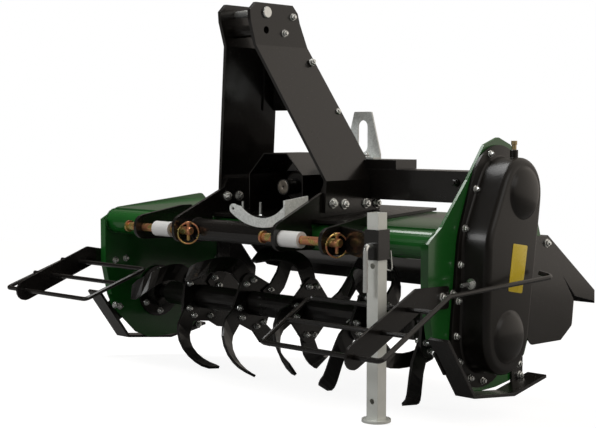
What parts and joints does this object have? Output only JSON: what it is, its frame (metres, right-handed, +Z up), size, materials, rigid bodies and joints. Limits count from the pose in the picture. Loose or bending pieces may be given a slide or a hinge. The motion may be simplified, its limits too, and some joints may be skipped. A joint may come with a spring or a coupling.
{
  "type": "rotary tiller",
  "caption": "Three-point hitch rotary tiller with a side chain case, tined rotor, hood, hinged tailgate, skids, tine guards and a parking stand.",
  "frame": {"origin": "middle of the footprint on the ground, parked on the tine tips and the stand", "axes": "+X across the machine towards the chain case, -Y towards the tractor, +Z up"},
  "size_m": [1.4924, 1.1104, 1.0156],
  "materials": {
    "green_paint": "gloss",
    "black_paint": "gloss",
    "case_black": "satin",
    "tine_steel": "satin",
    "galvanised": "zinc plated",
    "yellow_zinc": "yellow zinc plated",
    "bare_steel": "machined",
    "brass": "satin"
  },
  "bodies": {
    "frame": {"beam_saddle": "black_paint", "bearing_drive": "black_paint", "bearing_plain": "black_paint", "breather": "brass", "chain_case": "case_black", "clevis_plate_left": "black_paint", "clevis_plate_right": "black_paint", "drive_beam": "black_paint", "front_tube": "green_paint", "gearbox": "case_black", "gearbox_base_plate": "black_paint", "guard_plate_left": "black_paint", "guard_plate_right": "black_paint", "guard_rods_left": "black_paint", "guard_rods_right": "black_paint", "hitch_cross_tube": "black_paint", "hitch_pin_left": "yellow_zinc", "hitch_pin_right": "yellow_zinc", "hitch_plate_left": "black_paint", "hitch_plate_right": "black_paint", "hood": "green_paint", "lock_pin_handle": "galvanised", "lock_pin_tail": "galvanised", "lynch_pin_left": "yellow_zinc", "lynch_pin_right": "yellow_zinc", "mast_brace": "black_paint", "mast_leg_left": "black_paint", "mast_leg_right": "black_paint", "pto_shield": "black_paint", "shaft_rest": "galvanised", "side_plate_drive": "green_paint", "side_plate_plain": "green_paint", "skid_left": "black_paint", "skid_right": "black_paint", "slotted_bracket": "galvanised", "spacer_left": "galvanised", "spacer_right": "galvanised", "stand_sleeve": "black_paint", "tailgate_rod": "galvanised", "top_pin": "black_paint", "top_spacer": "black_paint", "wing_left": "black_paint", "wing_right": "black_paint"},
    "rotor": {"rotor_tube": "tine_steel", "tine_flange_1": "tine_steel", "tine_flange_2": "tine_steel", "tine_flange_3": "tine_steel", "tine_flange_4": "tine_steel", "tine_flange_5": "tine_steel"},
    "pto": {"pto_shaft": "bare_steel"},
    "tailgate": {"tailgate": "black_paint"},
    "stand": {"stand_leg": "galvanised"}
  },
  "joints": [
    {"name": "rotor_spin", "type": "hinge", "parent": "frame", "child": "rotor", "pos_m": [0.04277, -0.03514, 0.21047], "axis": [1, 0, 0], "continuous": true},
    {"name": "pto_spin", "type": "hinge", "parent": "frame", "child": "pto", "pos_m": [0.04277, -0.3901, 0.51831], "axis": [0, 0.9925, 0.1219], "continuous": true},
    {"name": "tailgate_hinge", "type": "hinge", "parent": "frame", "child": "tailgate", "pos_m": [0.04277, 0.23997, 0.44958], "axis": [1, 0, 0], "range_deg": [-15, 70]},
    {"name": "stand_slide", "type": "slide", "parent": "frame", "child": "stand", "axis": [0, -0.1219, 0.9925], "range_m": [0, 0.335]}
  ],
  "couplings": [
    {"joint": "pto_spin", "follows": "rotor_spin", "ratio": -2.7}
  ]
}
